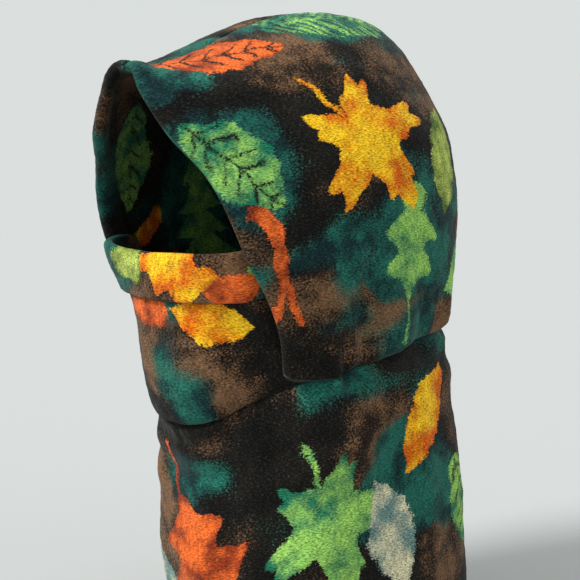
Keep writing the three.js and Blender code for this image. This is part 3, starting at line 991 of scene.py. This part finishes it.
grid, across = face_grid([face_rows(down) for down in np.linspace(0, 1, FACE_ROWS)])
s, t = cloth_lengths(grid)
s = from_middle(s)
level = grid_normals(grid)
dents = face_dent(grid) * clear_of_hem(across, edge=1.1, fade=0.5)
grid = grid + level * dents[..., None]
to_cheek = np.clip(np.abs(across), 0, 1)
depth = CHIN_ROLL["depth"] + (CHIN_ROLL["cheek_depth"] - CHIN_ROLL["depth"]) * to_cheek
grid = rolled_in(grid, level, seam_height, CHIN_ROLL["height"], depth)
relief = pile_relief(s, t, 31) * clear_of_hem(across, edge=1.0, fade=0.12)
outer, inner = finish_wall(grid, np.full(s.shape, CLOTH), relief)
slant_rim(outer, inner, -1)
face_rim = outer[-1]
face_panel = wall_mesh("face_cover", outer, inner, s, t, print_layers(s, t, 63, FACE_MOTIFS))
face_panel.data.materials.append(printed_fleece)
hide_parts("face_panel")
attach(face_panel, "root")


# Face band. The face panel's upper edge folded over outwards and sewn down: two layers, plump at
# the fold, with a free lower edge that throws a thin shadow on the panel.

BAND_OUT = 3.4
BAND_FOLD = 3.6  # height of the rounding at the fold
BAND_LIP = 2.0  # and at the lower edge
BAND_PLUMP = 1.3
BAND_WAVE = {"height": 0.9, "across": 24, "down": 30, "seed": 77}
BAND_WANDER = {"across": 3.1, "seed": 8}
BAND_EVEN_ROWS = 25

BAND_MOTIFS = table(
    "layer kind s t size turn",
    ("brown", "blotch", 60, 18, 90, 0),
    ("brown", "blotch", 122, 24, 96, 0),
    ("brown", "blotch", 176, 14, 80, 0),
    ("red", "leaf", 166, 24, 46, -10),
    ("gold", "lobed", 122, 12, 84, 10),
    ("olive", "blotch", 72, 8, 44, 0),
    ("green", "blotch", 196, 16, 50, 0),
)

band_height = BAND_FOOT - BAND_TOP
even_rows = np.linspace(BAND_FOLD, band_height - BAND_LIP, BAND_EVEN_ROWS + 2)[1:-1]
below = np.r_[fold_run(BAND_FOLD), even_rows, (band_height - fold_run(BAND_LIP))[::-1]]
phase = np.r_[fold_phase, np.full(BAND_EVEN_ROWS, math.pi / 2), fold_phase[::-1]]


def band_row(at):
    """One row of the band, at a distance below its fold; the fold wanders by a millimetre."""

    def drops(across):
        wander = grain(across * BAND_WANDER["across"], 0 * across, BAND_WANDER["seed"])
        return band_edge(BAND_TOP, across) + at + (1 - at / band_height) * wander

    return drops


grid, across = face_grid([band_row(at) for at in below])
s, t = cloth_lengths(grid)
s = from_middle(s)
t[: FOLD_STEPS + 1] -= round_fold(BAND_FOLD, (CLOTH + BAND_OUT) / 2)[:, None]
t[-FOLD_STEPS - 1 :] += round_fold(BAND_LIP, (CLOTH + BAND_OUT) / 2)[::-1, None]
normal = grid_normals(grid)
out_of_hem = clear_of_hem(across, edge=1.02, fade=0.2)
round_edge = np.sin(phase)[:, None]
plump = BAND_PLUMP * np.sin(math.pi * np.clip(below / band_height, 0, 1))[:, None]
ripple = grain(s / BAND_WAVE["across"], t / BAND_WAVE["down"], BAND_WAVE["seed"])
uneven = plump + BAND_WAVE["height"] * ripple + pile_relief(s, t, 71)
thick = CLOTH + BAND_OUT * out_of_hem
middle = BAND_OUT * out_of_hem - thick / 2
outer_at = middle + thick / 2 * round_edge + uneven * out_of_hem
inner_at = middle - thick / 2 * round_edge
outer = grid + normal * outer_at[..., None]
inner = (grid + normal * inner_at[..., None])[::2, ::2]
face_band = wall_mesh("face_band_fold", outer, inner, s, t, print_layers(s, t, 81, BAND_MOTIFS))
face_band.data.materials.append(printed_fleece)
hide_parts("face_band")
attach(face_band, "root")


# Neck tube. One strip of the fleece sewn into a tube at the centre back, gathered a little at
# the neck seam and hanging in soft upright folds, with its foot turned in.

TUBE_FOOT = -428.0
TUBE_START = 0.6  # how far below the neck seam's line its own rows begin
TUBE_HEM = 22.0
TUBE_HEM_THICK = 5.0
TUBE_FOLD_RUN = 4.5
TUBE_WIDTH = 640.0  # the strip's length round the tube
TUBE_LENGTH = 200.0  # from seam to foot, for the spacing of its rows
TUBE_SEAM_GROOVE = {"depth": 1.5, "width": 3.2}
TUBE_HEM_GROOVE = {"depth": 0.4, "width": 2.0}
TUBE_TOP_CALM = 4.0  # how far from the neck seam the pile fades in
NECK_GAP = 0.4
RIM_REACH = 24.0  # how far down the tube is drawn out to the rim above it
HOOD_RIM_FROM = -36.0  # the hood's rim is the neck seam behind this y
FACE_RIM_TO = -46.0  # and the face panel's in front of this one
BACK_SEAM = {"turn": 90.0, "slit": 0.02}  # in degrees
TUBE_EVEN_ROWS = 154
TUBE_COLUMNS = 481
TUBE_FINE = 1441
TUBE_LEVELS = table(
    "share half_width front back",
    (0, 78, 95, 97),
    (0.03, 82, 97, 104),
    (0.07, 85, 98, 110),
    (0.12, 87, 98, 114),
    (0.35, 89, 97, 125),
    (0.65, 90, 96, 135),
    (0.85, 91, 89, 140),
    (1, 91, 83, 142),
)
TUBE_FOLDS = table(
    "turn height width",
    (-116, 3.5, 9),
    (-66, -4, 10),
    (-30, 4, 11),
    (4, -4, 12),
    (44, 4, 12),
    (128, 4, 12),
    (168, -4, 12),
    (208, 4, 11),
    (22, 1.6, 5),
    (-48, -1.6, 5),
    (84, -2.2, 8),
    (148, -1.6, 6),
)
FOLDS_IN = 6  # the folds reach their height at a sixth of the way down
FOLDS_LOST = 0.35  # the share of it that they have lost at the foot
# Slouch folds: the middle's place round the tube in degrees and below the seam in
# millimetres, how many degrees it reaches to each side, half width, fall over each degree
# and height.
TUBE_SLOUCH = table(
    "turn down reach width fall height",
    (-96, 22, 44, 8, 0.14, 3.0),
    (-84, 40, 50, 9, 0.10, -2.6),
    (-20, 52, 34, 9, -0.34, 3.2),
    (2, 76, 40, 10, -0.30, -2.8),
    (-60, 112, 40, 12, 0.30, 2.6),
    (62, 34, 34, 9, 0.26, 3.0),
    (96, 62, 44, 10, 0.16, -2.8),
    (130, 30, 36, 8, -0.20, 3.0),
    (84, 120, 40, 13, -0.22, 2.6),
    (176, 54, 40, 10, -0.26, -3.0),
    (200, 86, 38, 11, 0.30, 3.0),
    (226, 46, 34, 9, 0.24, 2.6),
)
TUBE_PUCKERS = table(
    PUCKER_COLUMNS,
    (0.7, 38, 9, 91, 5, 14, 12),
    (1.1, 8, 60, 92, 0, 9, 15),
    (1.8, 19, 80, 93, 0, 16, 26),
)
tube_at = tracks(TUBE_LEVELS, "share")


def tube_line(turn, share):
    """One row of the tube: a front and a back half-ellipse, lifted or dropped to lie between
    the sloping neck seam and the level foot."""
    angle = np.radians(turn)
    depth = np.where(np.sin(angle) < 0, tube_at["front"](share), tube_at["back"](share))
    x, y = tube_at["half_width"](share) * np.cos(angle), depth * np.sin(angle)
    top = seam_height(y) - TUBE_START
    return np.stack([x, y, top + (TUBE_FOOT - top) * share], axis=-1)


def tube_grid(down):
    """Rows of the tube at the given distances down, from the centre back round to it again,
    each evened out. Gives the points and their degrees round the tube."""
    first, last = BACK_SEAM["turn"] + BACK_SEAM["slit"], BACK_SEAM["turn"] + 360 - BACK_SEAM["slit"]
    turns = np.linspace(first, last, TUBE_FINE)
    rows, places = [], []
    for share in down / TUBE_LENGTH:
        far = distances(tube_line(turns, share + 0 * turns))
        at = np.interp(np.linspace(0, far[-1], TUBE_COLUMNS), far, turns)
        rows.append(tube_line(at, share + 0 * at))
        places.append(at)
    return np.stack(rows), np.stack(places)


def tube_fold(turn, share, t):
    """Upright folds, bells round the tube that fade to the foot, and slouch folds, bells
    across a slanting line, all of them gathered in below the seam."""
    total = np.zeros(turn.shape)
    for fold in TUBE_FOLDS:
        apart = (turn - fold["turn"] + 180) % 360 - 180
        total += fold["height"] * bell(apart, fold["width"])
    for fold in TUBE_SLOUCH:
        apart = (turn - fold["turn"] + 180) % 360 - 180
        off = t - fold["down"] - apart * fold["fall"]
        total += fold["height"] * bell(apart, fold["reach"]) * bell(off, fold["width"])
    return total * np.clip(share * FOLDS_IN, 0, 1) * (1 - FOLDS_LOST * share)


def polar(points):
    """Degrees round the neck's axis from the wearer's left, and the distance from the axis."""
    return np.degrees(np.arctan2(points[:, 1], points[:, 0])), np.hypot(points[:, 0], points[:, 1])


def sewn_on(grid, below):
    """The tube drawn out to the rim that it hangs from, the hood's at the sides and back and
    the face panel's in front: a shift of its top row that fades out below."""
    behind = [rim[rim[:, 1] > HOOD_RIM_FROM] for rim in (left_rim, right_rim)]
    rim = np.concatenate(behind + [face_rim[face_rim[:, 1] < FACE_RIM_TO]])
    angle, far = polar(rim)
    own_angle, own_far = polar(grid[0])
    outward = grid[0, :, :2] / own_far[:, None]
    wider = np.interp(own_angle, angle, far, period=360) - own_far
    higher = np.interp(own_angle, angle, rim[:, 2], period=360) - NECK_GAP - grid[0, :, 2]
    shift = np.column_stack([outward * wider[:, None], higher])
    return grid + shift * (1 - ease(below / RIM_REACH))[..., None]


TUBE_MOTIFS = table(
    "layer kind s t size turn",
    ("brown", "blotch", 262, 60, 96, 0),
    ("red", "lobed", 328, 92, 118, 64),
    ("pale", "blotch", 276, 120, 60, 90),
    ("green", "five_pointed", 424, 92, 112, 76),
    ("brown", "blotch", 384, 168, 100, 0),
    ("olive", "twig", 372, 160, 96, 10),
    ("teal", "blotch", 492, 96, 124, 0),
    ("pale", "leaf", 476, 120, 84, 74),
    ("gold", "leaf", 520, 52, 80, 130),
    ("gold", "lobed", 204, 100, 108, 112),
    ("teal", "blotch", 124, 110, 124, 0),
    ("green", "fir", 124, 108, 116, -90),
    ("red", "branch", 52, 90, 110, 60),
    ("green", "leaf", 566, 128, 88, 70),
    ("night", "veins", 566, 128, 88, 70),
)

even_rows = np.linspace(0, TUBE_LENGTH - TUBE_FOLD_RUN, TUBE_EVEN_ROWS + 1)[:-1]
down = np.r_[even_rows, (TUBE_LENGTH - fold_run(TUBE_FOLD_RUN))[::-1]]
grid, turn = tube_grid(down)
grid = sewn_on(grid, down[:, None])
s, t = cloth_lengths(grid)
to_seam = np.minimum(s, s[:, -1:] - s)
s = TUBE_WIDTH * s / s[:, -1:]
gathers = puckers(TUBE_PUCKERS, s, t) * ease(t / NECK_CALM)
folds = tube_fold(turn, (down / TUBE_LENGTH)[:, None], t)
grid = grid + grid_normals(grid) * (folds + gathers)[..., None]
to_foot = t[-1:] - t
thick = CLOTH + (TUBE_HEM_THICK - CLOTH) * ease((TUBE_HEM - to_foot) / HEM_END)
round_edge = np.r_[np.ones(TUBE_EVEN_ROWS), np.sin(fold_phase)[::-1]][:, None]
sunk = thick / 2 * (1 - round_edge)
to_stitch = to_foot - (TUBE_HEM - HEM_STITCH)
stitched = groove(to_seam, TUBE_SEAM_GROOVE) + groove(to_stitch, TUBE_HEM_GROOVE)
t[-FOLD_STEPS - 1 :] += round_fold(TUBE_FOLD_RUN, TUBE_HEM_THICK / 2)[::-1, None]
uneven = pile_relief(s, t, 95) * ease(to_seam / SEAM_CALM) - stitched
relief = uneven * ease(t / TUBE_TOP_CALM) - sunk
outer, inner = finish_wall(grid, thick - sunk, relief)
slant_rim(outer, inner, 0)
neck_tube = wall_mesh("neck_tube_cloth", outer, inner, s, t, print_layers(s, t, 105, TUBE_MOTIFS))
neck_tube.data.materials.append(printed_fleece)
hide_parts("neck_tube")
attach(neck_tube, "root")


# Room. A plain pale floor, soft studio lamps and the camera at the photograph's viewing angle.
# From here on sizes are metres.

FLOOR = {"z": -0.4295, "reach": 60.0}
FLOOR_CORNERS = [(-1, -1), (1, -1), (1, 1), (-1, 1)]
FLOOR_LOOK = {"Base Color": (0.438, 0.4475, 0.4437, 1), "Roughness": 0.9, "Specular IOR Level": 0.0}

pale = bpy.data.materials.new("pale_floor")
pale.use_nodes = True
for socket, value in FLOOR_LOOK.items():
    pale.node_tree.nodes["Principled BSDF"].inputs[socket].default_value = value
floor_mesh = bpy.data.meshes.new("floor")
corners = [(x * FLOOR["reach"], y * FLOOR["reach"], FLOOR["z"]) for x, y in FLOOR_CORNERS]
floor_mesh.from_pydata(corners, [], [(0, 1, 2, 3)])
floor = bpy.data.objects.new("floor", floor_mesh)
floor_mesh.materials.append(pale)
bpy.context.collection.objects.link(floor)

LAMPS = table(
    "name azimuth elevation spread power",
    ("key", -4, 44, 18, 3.4),
    ("side", 96, 26, 50, 0.25),
    ("rim", 214, 40, 40, 0.6),
)
LAMP_AWAY = 2.0


def direction(azimuth, elevation):
    """From the object towards an azimuth and elevation; azimuth 0 is the face's side."""
    a, e = math.radians(azimuth), math.radians(elevation)
    return np.array([math.sin(a) * math.cos(e), -math.cos(a) * math.cos(e), math.sin(e)])


def aimed(thing, place, towards):
    """Places an object and turns its -Z axis towards a point."""
    thing.location = Vector(place)
    thing.rotation_euler = Vector(towards - place).to_track_quat("-Z", "Y").to_euler()
    bpy.context.collection.objects.link(thing)


centre = np.array([0.0, 0.0, -0.2])
for lamp in LAMPS:
    light = bpy.data.lights.new(lamp["name"], "SUN")
    light.angle, light.energy = math.radians(lamp["spread"]), lamp["power"]
    place = centre + direction(lamp["azimuth"], lamp["elevation"]) * LAMP_AWAY
    aimed(bpy.data.objects.new(lamp["name"], light), place, centre)

world = bpy.data.worlds.new("pale_room")
world.use_nodes = True
background = world.node_tree.nodes["Background"].inputs
background["Color"].default_value = (0.86, 0.9, 0.89, 1)
background["Strength"].default_value = 0.82
bpy.context.scene.world = world
bpy.context.scene.view_settings.view_transform = "Standard"

# The photo's frame is centred a little to the wearer's front of the middle and above it.
VIEW = {"azimuth": 50, "elevation": 7, "away": 1.3, "field": 0.4056}
FRAME_SHIFT = {"front": 0.0056, "up": 0.0112}
toward = direction(VIEW["azimuth"], VIEW["elevation"])
turn = math.radians(VIEW["azimuth"])
right = np.array([math.cos(turn), math.sin(turn), 0])
up = np.cross(toward, right)
target = centre - right * FRAME_SHIFT["front"] + up * FRAME_SHIFT["up"]
camera = bpy.data.cameras.new("camera")
camera.sensor_fit = "HORIZONTAL"
camera.angle = 2 * math.atan(VIEW["field"] / 2 / VIEW["away"])
camera_object = bpy.data.objects.new("camera", camera)
aimed(camera_object, target + toward * VIEW["away"], target)
bpy.context.scene.camera = camera_object
